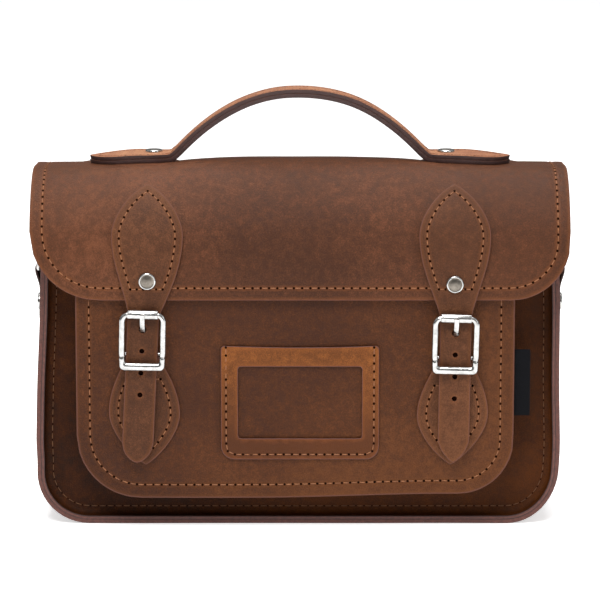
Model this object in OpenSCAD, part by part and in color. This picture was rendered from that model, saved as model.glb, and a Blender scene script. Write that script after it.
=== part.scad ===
// Leather satchel: a boxy body with a dished front and back, a front pocket, a domed flap held by
// two buckled straps, an arched handle and a D-ring on each side. Millimetres, +Z up, -Y is the
// front, and the origin is the centre of the base.

/* [Body] */
// Width of the body at its base
body_base_w = 324; // [300:1:340]
// Width of the body at the top of the gusset
body_top_w = 314; // [290:1:330]
// Depth of the main gusset from rim to rim
body_depth = 77; // [65:1:90]
// Height of the main gusset
gusset_top = 196; // [192:1:198]
// Radius of the two bottom corners
corner_r = 32; // [20:1:40]
// Depth that the front and back panels sit behind their rims
dish = 7; // [5:0.5:7]
// Thickness of the body leather
body_t = 2.4; // [2:0.1:2.4]

/* [Pocket] */
// Width of the pocket panel
pocket_w = 266; // [250:1:270]
// Sideways offset of the pocket
pocket_shift = -3; // [-4:0.5:4]
// Lowest edge of the pocket panel above the base
pocket_base = 20.7; // [18:0.1:24]
// Height of the pocket mouth above the base
pocket_top = 158; // [150:1:165]
// Depth of the pocket from the front panel to its own face
pocket_depth = 25; // [20:1:28]
// Width and height of the card frame
card_w = 96; // [90:1:100]
card_h = 70; // [64:1:72]
// Width and height of the card frame's window
window_w = 75; // [70:1:80]
window_h = 44.5; // [40:0.5:48]

/* [Flap] */
// Width of the flap
flap_w = 326; // [322:1:332]
// Height of the flap's lowest edge above the base
flap_bottom = 144; // [142:1:150]
// Height of the crest of the flap
crest_z = 221; // [219:1:224]
// Thickness of the flap and back panel leather
flap_t = 3.2; // [3:0.1:3.2]
// Gap between the pocket face and the flap lining it
flap_gap = 1.6; // [1.6:0.1:2]

/* [Straps and buckles] */
// Width of the strap that passes through each buckle
strap_w = 19; // [18:0.5:19]
// Thickness of the strap
strap_t = 2.8; // [2.5:0.1:2.8]
// Greatest width of the leaf-shaped strap ends
leaf_w = 43.2; // [40:0.1:46]
// Distance between punched holes
hole_pitch = 13.5; // [12:0.5:14]
// Outer radius of the buckle roller
roller_r = 3; // [2.8:0.1:3]

/* [Handle] */
// Clear height of the handle arch above the flap
arch_h = 40; // [36:1:44]
// Width of the grip
grip_w = 22; // [20:1:24]
// Length of the handle from tip to tip
handle_len = 259; // [256:1:262]
// Thickness of each of the two handle layers
handle_t = 2.6; // [2.4:0.1:2.8]

/* [Hidden] */
$fn = 48;

// Lengths past every solid, for cutting tools, and the play that turning or slipping parts get.
far = 400;
play = 0.1;

// The body's planes, from front to back.
front_y = -body_depth / 2;
back_y = body_depth / 2;
panel_y = front_y + dish;
pocket_y = panel_y - pocket_depth;
side_lean = atan((body_base_w - body_top_w) / 2 / (gusset_top - corner_r));

// The heights of the panels, and the steps that take the gusset's top edge under the flap: how far
// it drops at the front rim, and where its two slopes towards the fold end.
front_panel_top = 178;
back_rim_top = 176;
gusset_back_top = 186;
front_drop = 7;
front_slope_end = 9;
rear_slope_ends = [7, 18];

// The pocket, its card frame and its seam tag.
pocket_t = 2.2;
pocket_corner_r = 34;
seam_w = 11;
card_base = 45.4;
card_t = 2;
card_corner_r = 8;
window_base = card_base + 12.8;
tag_sewn = 6;
tag_size = [17.6, 0.8, 41.5];
tag_base = 70;

// The flap's profile: front face, dome over a level crest, and the fold above the back panel.
flap_inner_y = pocket_y - flap_gap;
flap_outer_y = flap_inner_y - flap_t;
flap_corner_r = 36;
crest_flat = 32;
shoulder_z = 165;
hinge_z = 190;
back_face_y = back_y - dish + 1;
hinge_y = back_face_y - flap_t / 2;
fold_gap = 0.3;
fold_arc = [-15, -165];
bevel_share = 0.7;

// The front straps. Each side is [rivet x, rivet z, tail slant, buckle x, pivot z, buckle slant].
LEFT = [-92, 156.2, 2.9, -95.2, 110.8, 1.2];
RIGHT = [93.3, 154.3, 0.7, 93.6, 108.5, 1.2];
strap_y = flap_outer_y - strap_t;
flex_z = 140.5;
flex_y = strap_y + strap_t / 2;
leaf_top_z = 212;
leaf_neck_drop = 8;
tail_end_z = 44.5;
point_l = 11;
first_hole_rise = 16;
first_hole_r = 2.4;
hole_r = 1.8;
hole_count = 4;

// The leaf-shaped strap ends: where they are widest, as a share of their length, and the powers
// that shape the swell and the rounded tip.
leaf_widest = 0.6;
leaf_swell = 1.3;
leaf_tip = [1.9, 0.75];
neck_sway = 0.45;

// The buckle, drawn about its pivot bar: x across, y out from the bag, z up.
bar_r = 1.2;
bar_out = 2.3;
tab_t = 2.2;
tab_tip_z = 42;
prong_slot_w = 4;
lug_w = 2.4;
notch = [7, 1.2, 1];
roller_l = 18.4;
roller_bar_r = 1.5;
strap_front = pocket_y - strap_y;
frame_w = 28.4;
frame_wire = 3.5;
frame_t = 3;
frame_out = strap_front + 0.3 + roller_r - bar_out;
frame_top = 25.6;
frame_foot = -8.8;
keeper_h = 4.6;
prong_r = 1.4;
frame_corner_r = 5;

// Rivets: domed cap, post and flat back.
cap_r = 5.2;
cap_h = 2.3;
post_r = 2;
back_r = 4.6;
back_h = 1;
post_reach = 8;

// The side tabs and their rings, drawn on the gusset's face: x out, z up from the rivet.
side_z = 132.7;
side_tab_w = 20;
side_tab_t = 1.2;
ring_wire_r = 1.5;
ring_w = 21;
ring_rise = 22;
ring_bend_r = 2;
ring_leg = 4;
side_tab_low = -12;
side_tab_fold = 9;
side_tab_nose = [1.2, 2.4];
side_grip = 2 * side_tab_t + body_t + play / 2;

// The handle.
arch_half = 77;
arch_power = 2.2;
bend_soft = 1.8;
swell_x = 74;
widest_x = 104;
tab_w = 32;
handle_swell = 1.3;
handle_tip = [2, 0.7];
handle_steps = 52;
handle_rivet_x = 90;
washer_r = 9;
washer_t = 2;
handle_grip = 2 * handle_t + flap_t + washer_t;

function ellipse_arc(c, rx, ry, from, to, steps) =
    [for (i = [0:steps]) c + [rx * cos(from + (to - from) * i / steps),
                              ry * sin(from + (to - from) * i / steps)]];

// A profile line that runs outside the flap's inner face by the distance out.
function front_line(out, low) = concat(
    [[flap_inner_y - out, low]],
    ellipse_arc([-crest_flat / 2, shoulder_z], -crest_flat / 2 - flap_inner_y + out,
                crest_z - flap_t - shoulder_z + out, 180, 90, 20)
);
function rear_line(out) =
    ellipse_arc([crest_flat / 2, hinge_z], hinge_y - flap_t / 2 - crest_flat / 2 + out,
                crest_z - flap_t - hinge_z + out, 90, 0, 16);

// The line through points, moved sideways by out, with mitred corners.
function unit(v) = v / norm(v);
function side_line(points, out) = [for (i = [0:len(points) - 1])
    let (a = unit(points[max(i, 1)] - points[max(i, 1) - 1]),
         last = len(points) - 2,
         b = unit(points[min(i, last) + 1] - points[min(i, last)]),
         n = unit([-a[1] - b[1], a[0] + b[0]]))
    points[i] + n * out / (n * [-a[1], a[0]])];
function reversed(line) = [for (i = [len(line) - 1:-1:0]) line[i]];

// Half width of a leaf-shaped strap end, a share s of the way from its neck (0) to its tip (1).
function leaf_half(s, neck) = s < leaf_widest
    ? neck / 2 + (leaf_w - neck) / 2 * pow(sin(90 * s / leaf_widest), leaf_swell)
    : leaf_w / 2 * pow(1 - pow((s - leaf_widest) / (1 - leaf_widest), leaf_tip[0]), leaf_tip[1]);

// The outline of a leaf whose neck is moved sideways by sway.
function leaf_points(neck_z, tip_z, sway) = [for (side = [-1, 1], i = [0:30])
    let (s = side < 0 ? i / 30 : 1 - i / 30)
    [side * leaf_half(s, strap_w) + sway * pow(max(0, 1 - s / neck_sway), 2),
     neck_z + (tip_z - neck_z) * s]];

// Height of the handle's underside above the crest, and its slope.
function arch_raw(x) = arch_h * (1 - pow(abs(x) / arch_half, arch_power));
function arch_rise(x) = bend_soft * ln(1 + exp(arch_raw(x) / bend_soft));
function arch_slope(x) = -sign(x) * arch_power * arch_h / arch_half
    * pow(abs(x) / arch_half, arch_power - 1) / (1 + exp(-arch_raw(x) / bend_soft));
function handle_line(out) = [for (i = [-handle_steps:handle_steps])
    let (x = i * handle_len / 2 / handle_steps, m = arch_slope(x), n = sqrt(1 + m * m))
    [x - out * m / n, crest_z + arch_rise(x) + out / n]];

// Half width of the handle in plan: a grip that swells into a leaf at each end.
function handle_half(x) =
    let (swell = (abs(x) - swell_x) / (widest_x - swell_x),
         fall = (abs(x) - widest_x) / (handle_len / 2 - widest_x))
    swell < 0 ? grip_w / 2
    : fall < 0 ? grip_w / 2 + (tab_w - grip_w) / 2 * pow(sin(90 * swell), handle_swell)
    : tab_w / 2 * pow(max(0, 1 - pow(fall, handle_tip[0])), handle_tip[1]);

// Extrudes a drawing in X and Z from one Y to a nearer one.
module across(y_back, y_near) {
    translate([0, y_back, 0]) rotate([90, 0, 0]) linear_extrude(y_back - y_near) children();
}

// Extrudes a drawing in Y and Z over a width centred on X = 0.
module along(width) {
    rotate([90, 0, 90]) linear_extrude(width, center = true) children();
}

module x_rod(r, length) {
    rotate([0, 90, 0]) cylinder(r = r, h = length, center = true);
}

module y_rod(r, length) {
    rotate([90, 0, 0]) cylinder(r = r, h = length, center = true);
}

// The body seen from the front, pulled in by inset and open above top.
module body_outline(inset, top) {
    intersection() {
        hull() {
            for (side = [-1, 1]) {
                translate([side * (body_base_w / 2 - corner_r), corner_r])
                    circle(corner_r - inset);
                translate([side * (body_top_w / 2 - corner_r), gusset_top])
                    circle(corner_r - inset);
            }
        }
        translate([-far / 2, 0]) square([far, top]);
    }
}

module body_band(outer, inner, top) {
    difference() {
        body_outline(outer, top);
        body_outline(inner, far);
    }
}

// A panel with square top corners and rounded bottom corners, pulled in by inset.
module u_outline(width, base, top, r, inset) {
    for (side = [-1, 1])
        translate([side * (width / 2 - r), base + r]) circle(r - inset);
    translate([-width / 2 + inset, base + r]) square([width - 2 * inset, top - base - r]);
    translate([-width / 2 + r, base + inset]) square([width - 2 * r, top - base - inset]);
}

module pocket_outline(inset, top) {
    translate([pocket_shift, 0])
        u_outline(pocket_w, pocket_base, top, pocket_corner_r, inset);
}

// A panel inside the gusset whose edge is turned out to the gusset's rim. Its leather lies behind
// y_face by thickness.
module rim_panel(y_face, y_rim, thickness, top, rim_top) {
    across(max(y_face, y_face + thickness), min(y_face, y_face + thickness))
        body_outline(body_t, top);
    across(max(y_face, y_rim), min(y_face, y_rim)) body_band(body_t, 2 * body_t, rim_top);
}

// Placing modules for the two straps, the two buckles and the two sides.
module at_rivet(side) {
    translate([side[0], 0, side[1]]) children();
}

module at_buckle(side) {
    translate([side[3], pocket_y - bar_out, side[4]]) rotate([0, side[5], 0]) children();
}

// Along the strap's tail, from the hole that the prong goes through.
module at_tail(side) {
    translate([side[3], flex_y, side[4]]) rotate([0, side[5], 0]) translate([0, 0, first_hole_rise])
        rotate([0, side[2] - side[5], 0]) children();
}
function tail_x(side, z) = side[3] + first_hole_rise * sin(side[5])
    + (z - side[4] - first_hole_rise * cos(side[5])) * tan(side[2]);

module at_side(s) {
    x = body_base_w / 2 - corner_r + corner_r / cos(side_lean)
        - tan(side_lean) * (side_z - corner_r);
    translate([s * x, 0, side_z]) rotate([0, -s * side_lean, 0]) mirror([s < 0 ? 1 : 0, 0, 0])
        children();
}

// A rivet along Z: its domed cap sits on z = 0 and its post runs down to -grip.
module rivet_cap(grip) {
    dome_r = (cap_r * cap_r + cap_h * cap_h) / (2 * cap_h);
    intersection() {
        translate([0, 0, cap_h - dome_r]) sphere(dome_r);
        cylinder(r = cap_r, h = cap_h);
    }
    translate([0, 0, -grip]) cylinder(r = post_r, h = grip + cap_h / 2);
}

module rivet_back(grip) {
    difference() {
        translate([0, 0, -grip - back_h]) cylinder(r = back_r, h = back_h);
        translate([0, 0, -grip]) cylinder(r = post_r, h = back_h);
    }
}

module post_hole() {
    translate([0, 0, -post_reach]) cylinder(r = post_r + play, h = 2 * post_reach);
}

module main_gusset() {
    profile = [
        [front_y, 0], [back_y, 0], [back_y, back_rim_top], [back_face_y, back_rim_top],
        [back_face_y, gusset_back_top - 2], [back_face_y - rear_slope_ends[0], gusset_back_top],
        [back_face_y - rear_slope_ends[1], gusset_top], [front_y + front_slope_end, gusset_top],
        [front_y, gusset_top - front_drop]
    ];
    color("#7a4a33") difference() {
        intersection() {
            across(back_y, front_y) body_band(0, body_t, gusset_top);
            along(far) polygon(profile);
        }
        for (s = [-1, 1]) at_side(s) rotate([0, 90, 0]) post_hole();
    }
}

module front_panel() {
    color("#4a2a1a") rim_panel(panel_y, front_y, body_t, front_panel_top, front_panel_top);
}

module back_panel() {
    top = hinge_z - flap_t / 2 - fold_gap;
    color("#6a4230") difference() {
        rim_panel(back_face_y, back_y, -flap_t, top, back_rim_top);
        translate([0, back_face_y, top - flap_t * bevel_share]) rotate([45, 0, 0])
            translate([-far / 2, 0, -far / 2]) cube([far, far, far]);
    }
}

module pocket_gusset() {
    color("#6e4430") difference() {
        union() {
            across(panel_y, pocket_y + body_t) pocket_band(seam_w, seam_w + pocket_t);
            across(panel_y, panel_y - pocket_t) pocket_band(0, seam_w + pocket_t);
            across(pocket_y + body_t + pocket_t, pocket_y + body_t)
                pocket_band(0, seam_w + pocket_t);
        }
        tag_solid();
    }
}

module pocket_band(outer, inner) {
    difference() {
        pocket_outline(outer, pocket_top);
        pocket_outline(inner, far);
    }
}

module pocket_panel() {
    color("#5f3a2c") across(pocket_y + body_t, pocket_y) pocket_outline(0, pocket_top);
}

module card_frame() {
    color("#7f5230") difference() {
        across(pocket_y, pocket_y - card_t)
            u_outline(card_w, card_base, card_base + card_h, card_corner_r, 0);
        across(far, -far) translate([-window_w / 2, window_base]) square([window_w, window_h]);
    }
}

module tag_solid() {
    translate([pocket_shift + pocket_w / 2 - tag_sewn, pocket_y + body_t, tag_base])
        cube(tag_size);
}

module seam_tag() {
    color("#23242c") tag_solid();
}

// The pocket half of a strap: a stitched leaf whose neck folds round the buckle's pivot bar.
module buckle_tab(side) {
    wrap_r = bar_out - play;
    color("#6e4430") at_buckle(side) difference() {
        union() {
            across(bar_out, bar_out - tab_t) polygon(leaf_points(0, tab_tip_z - side[4], 0));
            x_rod(wrap_r, strap_w);
        }
        x_rod(bar_r + play, far);
        translate([-prong_slot_w / 2, -far / 2, -bar_out - play]) cube([prong_slot_w, far, far]);
    }
}

// A buckle frame: window frame, keeper bar at its foot, and the pivot bar behind on two lugs.
module buckle_frame(side) {
    inner_w = frame_w - 2 * frame_wire;
    outer_top = frame_top + frame_wire / 2;
    color("#d8d8d6") at_buckle(side) {
        difference() {
            across(-frame_out + frame_t / 2, -frame_out - frame_t / 2) difference() {
                rounded_box(frame_w, frame_foot, outer_top, frame_corner_r);
                rounded_box(inner_w, frame_foot + keeper_h, outer_top - frame_wire,
                            frame_corner_r - frame_wire);
            }
            translate([0, -frame_out, frame_top])
                x_rod(roller_r + 2 * play, roller_l + 4 * play);
            for (s = [-1, 1]) translate([s * frame_w / 2, -frame_out - frame_t / 2, 0])
                cube(notch, center = true);
        }
        translate([0, -frame_out, frame_top]) x_rod(roller_bar_r, inner_w);
        x_rod(bar_r, inner_w + 2 * lug_w);
        for (s = [-1, 1]) translate([s * (inner_w + lug_w) / 2, -frame_out / 2, 0])
            cube([lug_w, frame_out, 2.6 * bar_r], center = true);
    }
}

module rounded_box(width, base, top, r) {
    for (side = [-1, 1], z = [base + r, top - r]) translate([side * (width / 2 - r), z]) circle(r);
    translate([-width / 2, base + r]) square([width, top - base - 2 * r]);
    translate([-width / 2 + r, base]) square([width - 2 * r, top - base]);
}

module roller(side) {
    color("#e2e2e0") at_buckle(side) translate([0, -frame_out, frame_top]) difference() {
        x_rod(roller_r, roller_l);
        x_rod(roller_bar_r + play, far);
    }
}

// A prong: it turns on the pivot bar, lies behind the strap, comes through the first punched hole
// and rests on the front of the roller.
module prong(side) {
    behind = -0.6;
    shank = [[behind, 0], [behind, first_hole_rise - 0.3],
             [-strap_front + bar_out - 1, first_hole_rise],
             [-frame_out - 3.8, frame_top - 3.7],
             [-frame_out - roller_r - prong_r - 0.3, frame_top + 0.6]];
    color("#dcdcda") at_buckle(side) difference() {
        union() {
            x_rod(bar_out - play, 2 * prong_r);
            along(2 * prong_r)
                polygon(concat(side_line(shank, prong_r), reversed(side_line(shank, -prong_r))));
        }
        x_rod(bar_r + play, far);
    }
}

// The flap: a dome of thick leather whose back edge is the fold line.
module flap() {
    line_out = concat(front_line(flap_t, flap_bottom), rear_line(flap_t));
    line_in = concat(front_line(0, flap_bottom), rear_line(0));
    fold_edge = ellipse_arc([hinge_y, hinge_z], flap_t / 2, flap_t / 2,
                            fold_arc[0], fold_arc[1], 8);
    color("#6a4230") difference() {
        intersection() {
            along(flap_w) polygon(concat(line_out, fold_edge, reversed(line_in)));
            across(far, -far) u_outline(flap_w, flap_bottom, far, flap_corner_r, 0);
        }
        for (side = [LEFT, RIGHT]) at_rivet(side)
            translate([0, flap_outer_y, 0]) rotate([90, 0, 0]) post_hole();
        for (s = [-1, 1]) translate([s * handle_rivet_x, 0, crest_z]) post_hole();
    }
}

// The flap half of a strap: the stitched leaf that lies on the flap, down to the flex line.
module strap_leaf(side) {
    low = flex_z + strap_t / 2 + fold_gap;
    tip = leaf_top_z + side[1] - LEFT[1];
    sway = (tail_x(side, low) - side[0]) / pow(1 - leaf_neck_drop / (tip - low) / neck_sway, 2);
    line_out = front_line(flap_t + strap_t, low);
    line_in = front_line(flap_t, low);
    color("#7a4c36") difference() {
        intersection() {
            along(flap_w) polygon(concat(line_out, reversed(line_in)));
            translate([side[0], 0, 0]) across(far, -far)
                polygon(leaf_points(low - leaf_neck_drop, tip, sway));
        }
        at_rivet(side) translate([0, strap_y, 0]) rotate([90, 0, 0]) post_hole();
    }
}

// The free length of a strap, from the flex line through the buckle to its pointed end.
module strap_tail(side) {
    hole_z = side[4] + first_hole_rise;
    top = flex_z - hole_z;
    tip = tail_end_z - hole_z;
    color("#7a4c36") at_tail(side) difference() {
        across(strap_t / 2, -strap_t / 2)
            polygon([[-strap_w / 2, top], [-strap_w / 2, tip + point_l],
                     [-strap_w / 4, tip + point_l / 4], [0, tip],
                     [strap_w / 4, tip + point_l / 4],
                     [strap_w / 2, tip + point_l], [strap_w / 2, top]]);
        y_rod(first_hole_r, 2 * strap_t);
        for (i = [1:hole_count - 1]) translate([0, 0, -i * hole_pitch])
            y_rod(hole_r, 2 * strap_t);
    }
}

// The strap rivets, one on each strap.
module strap_rivet(side) {
    at_rivet(side) translate([0, strap_y, 0]) rotate([90, 0, 0]) children();
}

module strap_rivets() {
    color("silver") for (side = [LEFT, RIGHT]) strap_rivet(side) rivet_cap(strap_t + flap_t);
}

module strap_rivet_backs() {
    color("silver") for (side = [LEFT, RIGHT]) strap_rivet(side) rivet_back(strap_t + flap_t);
}

module handle_layer(low, high) {
    difference() {
        intersection() {
            rotate([90, 0, 0]) linear_extrude(tab_w, center = true)
                polygon(concat(handle_line(low), reversed(handle_line(high))));
            translate([0, 0, crest_z - far / 2]) linear_extrude(far)
                polygon([for (side = [-1, 1], i = [-60:60])
                    let (x = -side * i * handle_len / 120) [x, side * handle_half(x)]]);
        }
        for (s = [-1, 1]) translate([s * handle_rivet_x, 0, crest_z]) post_hole();
    }
}

module handle_lining() {
    color("#5b3626") handle_layer(0, handle_t);
}

module handle_cover() {
    color("#8a5c40") handle_layer(handle_t, 2 * handle_t);
}

// The handle rivets go through both handle layers, the flap and a leather washer inside it.
module handle_rivets() {
    color("silver") for (s = [-1, 1])
        translate([s * handle_rivet_x, 0, crest_z + 2 * handle_t + play / 2])
            rivet_cap(handle_grip + play / 2);
}

module handle_rivet_backs() {
    color("silver") for (s = [-1, 1])
        translate([s * handle_rivet_x, 0, crest_z + 2 * handle_t]) rivet_back(handle_grip);
}

module handle_washers() {
    color("#6a4230") for (s = [-1, 1])
        translate([s * handle_rivet_x, 0, crest_z - flap_t - washer_t]) difference() {
            cylinder(r = washer_r, h = washer_t);
            post_hole();
        }
}

// A side tab: one strip folded over the ring's straight bar and riveted to the gusset.
module side_tab(s) {
    loop_r = ring_wire_r + play + side_tab_t;
    low = side_tab_low;
    color("#6e4430") at_side(s) difference() {
        intersection() {
            union() {
                rotate([90, 0, 0]) linear_extrude(side_tab_w, center = true)
                    polygon([[0, low], [2 * side_tab_t, low], [2 * side_tab_t, side_tab_fold],
                             [2 * loop_r - side_tab_nose[0], ring_rise - side_tab_nose[1]],
                             [loop_r, ring_rise], [0, ring_rise]]);
                translate([loop_r, 0, ring_rise]) y_rod(loop_r, side_tab_w);
            }
            rotate([90, 0, 90]) linear_extrude(far, center = true) {
                translate([0, low + side_tab_w / 2]) circle(side_tab_w / 2);
                translate([-side_tab_w / 2, low + side_tab_w / 2]) square([side_tab_w, far]);
            }
        }
        translate([loop_r, 0, ring_rise]) y_rod(ring_wire_r + play, far);
        rotate([0, 90, 0]) post_hole();
    }
}

module side_rivet_axis(s) {
    at_side(s) translate([2 * side_tab_t, 0, 0]) rotate([0, 90, 0]) children();
}

module side_rivets() {
    color("silver") for (s = [-1, 1]) side_rivet_axis(s) rivet_cap(side_grip);
}

module side_rivet_backs() {
    color("silver") for (s = [-1, 1]) side_rivet_axis(s) rivet_back(side_grip);
}

// A D-ring in the plane of Y and Z, its straight bar on z = 0 and its bow above.
module d_ring(s) {
    half = ring_w / 2 + ring_wire_r;
    color("silver") at_side(s) translate([ring_wire_r + play + side_tab_t, 0, ring_rise]) {
        y_rod(ring_wire_r, 2 * (half - ring_bend_r));
        for (t = [-1, 1]) {
            translate([0, t * half, ring_bend_r]) cylinder(r = ring_wire_r, h = ring_leg);
            translate([0, t * (half - ring_bend_r), ring_bend_r])
                rotate([t > 0 ? -90 : 180, 0, 0]) ring_arc(ring_bend_r, 90);
        }
        translate([0, 0, ring_bend_r + ring_leg]) ring_arc(half, 180);
    }
}

// Part of a wire ring in the plane of Y and Z, from +Y round towards +Z.
module ring_arc(r, turn) {
    rotate([90, 0, 90]) rotate_extrude(angle = turn) translate([r, 0]) circle(ring_wire_r);
}

back_panel();
main_gusset();
front_panel();
pocket_gusset();
pocket_panel();
card_frame();
seam_tag();
buckle_tab(LEFT);  // buckle_tab_l
buckle_tab(RIGHT);  // buckle_tab_r
side_tab(-1);  // side_tab_l
side_tab(1);  // side_tab_r
side_rivets();
side_rivet_backs();
flap();
strap_leaf(LEFT);  // strap_leaf_l
strap_leaf(RIGHT);  // strap_leaf_r
strap_rivets();
strap_rivet_backs();
handle_lining();
handle_cover();
handle_rivets();
handle_washers();
handle_rivet_backs();
strap_tail(LEFT);  // strap_tail_l
strap_tail(RIGHT);  // strap_tail_r
buckle_frame(LEFT);  // buckle_frame_l
buckle_frame(RIGHT);  // buckle_frame_r
roller(LEFT);  // roller_l
roller(RIGHT);  // roller_r
prong(LEFT);  // prong_l
prong(RIGHT);  // prong_r
d_ring(-1);  // d_ring_l
d_ring(1);  // d_ring_r
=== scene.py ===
import math

import bpy
import numpy as np
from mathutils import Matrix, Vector, noise


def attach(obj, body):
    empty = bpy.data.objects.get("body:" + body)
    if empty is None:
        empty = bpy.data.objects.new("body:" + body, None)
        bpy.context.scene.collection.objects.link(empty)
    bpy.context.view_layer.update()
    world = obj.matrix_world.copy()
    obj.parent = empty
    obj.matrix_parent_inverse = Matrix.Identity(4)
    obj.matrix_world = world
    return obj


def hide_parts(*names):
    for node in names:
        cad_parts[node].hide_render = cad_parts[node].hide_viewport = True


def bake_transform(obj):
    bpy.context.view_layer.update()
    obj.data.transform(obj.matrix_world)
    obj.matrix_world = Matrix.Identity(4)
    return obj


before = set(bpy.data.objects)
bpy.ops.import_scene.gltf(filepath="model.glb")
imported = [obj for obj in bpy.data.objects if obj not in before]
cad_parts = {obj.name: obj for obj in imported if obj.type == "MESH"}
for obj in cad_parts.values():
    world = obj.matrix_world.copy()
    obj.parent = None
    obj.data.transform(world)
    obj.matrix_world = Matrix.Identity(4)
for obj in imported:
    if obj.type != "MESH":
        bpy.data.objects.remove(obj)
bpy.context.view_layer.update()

# ---- sizes, in millimetres
MM = 0.001

# body: half widths at the base and at the top, and the radius of the lower corners
BASE_HALF, TOP_HALF, CORNER = 162.0, 157.0, 32.0
GUSSET_TOP, BACK_RIM_TOP, PANEL_TOP = 196.0, 176.0, 178.0
FRONT_Y, BACK_Y = -38.5, 38.5
PANEL_Y, BACK_FACE_Y = -31.5, 32.5
BODY_T = 2.4
SIDE_LEAN = math.atan((BASE_HALF - TOP_HALF) / (GUSSET_TOP - CORNER))
# where the stitching round the rims runs, in from the body's sides
RIM_SEAM_INSET, BACK_SEAM_INSET = 9.6, 11.5
# the gusset's top corners: in front it slopes back from FRONT_SLOPE_Z, and behind it steps in above the rim
FRONT_SLOPE_Z = 189.0
REAR_STEP_Z, REAR_STEP_Y = (184.0, 186.0, GUSSET_TOP), (BACK_FACE_Y, 25.5, 14.5)
# below SOFT_TOP the left side bulges, and the right side sinks in, more so at its lower corner
SOFT_TOP, LEFT_BULGE, RIGHT_SINK, CORNER_SINK = 140.0, 1.0, 1.4, 3.2

POCKET_X, POCKET_HALF, POCKET_LOW, POCKET_TOP = -3.0, 133.0, 20.7, 158.0
POCKET_Y = -56.5
# radii of the left and right lower corners, and how much higher the right one sits
POCKET_R = {-1: 39.0, 1: 34.0}
POCKET_LIFT = 2.4

FLAP_HALF, FLAP_LOW, FLAP_T = 163.0, 144.0, 3.2
FLAP_R = {-1: 42.0, 1: 36.0}
FLAP_Y = -61.3
CREST_Z, CREST_HALF, SHOULDER_Z, FOLD_Z = 221.0, 16.0, 165.0, 190.0
# the crest swells in the middle and sinks towards the back, except under the two ends of the handle
CREST_BULGE, BULGE_HALF, CREST_DROP = 3.2, 83.0, 3.0
# how far the back leather sits inside the body's sides, below and above the end of the back rim
BACK_INSET, BACK_INSET_TOP = 7.5, 2.8

STRAP_T, STRAP_HALF, LEAF_HALF = 2.8, 9.5, 21.6
STRAP_Y = FLAP_Y - STRAP_T
FLEX_Z = 140.5
LEAF_TOP, TAIL_TIP, TAB_TIP = 212.3, 44.4, 42.0
HOLE_RISE, HOLE_PITCH, FIRST_HOLE_R, HOLE_PUNCH_R = 16.0, 13.5, 2.4, 1.6
BAR_Y = POCKET_Y - 2.3
# thickness of a buckle tab, and half the gap in it for the prong
TAB_T, PRONG_GAP = 2.2, 2.2
# rivet x, rivet z, slant of the tail, buckle x, pivot z, slant of the buckle
STRAPS = {
    "l": (-92.0, 156.2, 2.9, -95.2, 110.8, 1.2),
    "r": (93.3, 154.3, 0.7, 93.6, 108.5, 1.2),
}
# how far the leaf under each buckle leans, for each mm down from its neck
TAB_LEAN = {"l": 0.02, "r": -0.03}
# how far a leaf's seam runs from its sides and from its tip
LEAF_SEAM, LEAF_SEAM_TIP, TAB_SEAM = 4.6, 5.2, 5.6
# length of the shaped end, and the powers that make it round or pointed
STRAP_POINTS = {"l": (12.5, 1.9, 0.62), "r": (13.0, 1.45, 0.8)}

HANDLE_T, GRIP_HALF, HANDLE_TAB_HALF, HANDLE_TIP = 2.6, 11.0, 16.0, 129.5
# where the grip ends, where its leaf-shaped ends are widest, and how far the seams run from their sides
GRIP_END, LEAF_X, HANDLE_SEAM = 74.0, 104.0, 3.6
ARCH_H, ARCH_HALF, ARCH_POWER, ARCH_SOFT = 40.0, 77.0, 2.2, 1.8
HANDLE_RIVET_X = 90.0
# the stretch of the crest under each end of the handle, and how far and from where its tip droops
HANDLE_END_X, HANDLE_END_HALF = 105.0, 21.0
HANDLE_DROOP, DROOP_X, DROOP_LENGTH = 1.6, 98.0, 28.0
WASHER_R, WASHER_T = 9.0, 2.0

SIDE_Z, SIDE_TAB_HALF, SIDE_TAB_T = 132.7, 10.0, 1.2
RING_RISE = 22.0

# card frame: half width and heights of the frame and of its window
CARD_HALF, CARD_LOW, CARD_HIGH, CARD_R, CARD_T = 48.1, 45.1, 115.6, 8.0, 2.0
WINDOW_HALF, WINDOW_LOW, WINDOW_HIGH = 37.6, 58.2, 102.6
# woven tag: its inner and outer x, where it leaves the pocket's edge, its heights and the radius of its fold
TAG_IN, TAG_EDGE, TAG_OUT, TAG_LOW, TAG_HIGH, TAG_FOLD_R = 124.2, 130.0, 139.6, 71.6, 112.6, 0.3

# buckle frame from its pivot bar: top, foot, how far it stands out, half widths outside and inside
FRAME_TOP, FRAME_FOOT, FRAME_OUT, FRAME_HALF, FRAME_INNER_HALF = 27.2, -8.8, 8.6, 14.2, 10.6
FRAME_WIRE_R, LUG_X, BAR_R = 1.7, 11.8, 1.2

STITCH_PITCH, LEAF_PITCH = 5.0, 4.6
STITCH_R, HOLE_R = 0.27, 0.8
BASE_STEPS, POCKET_BASE_STEPS, ARC_STEPS = 24, 20, 12
# the distance given to points that are far from any seam or edge
NO_SEAM = 99.0
# directions across the bag and out from its front
ACROSS = (1.0, 0.0, 0.0)
OUTWARD = (0.0, -1.0, 0.0)


# ---- materials
def srgb(text):
    """A #rrggbb colour as linear RGBA."""
    channels = [int(text[i : i + 2], 16) / 255 for i in (1, 3, 5)]
    linear = [c / 12.92 if c <= 0.04045 else ((c + 0.055) / 1.055) ** 2.4 for c in channels]
    return (*linear, 1.0)


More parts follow.
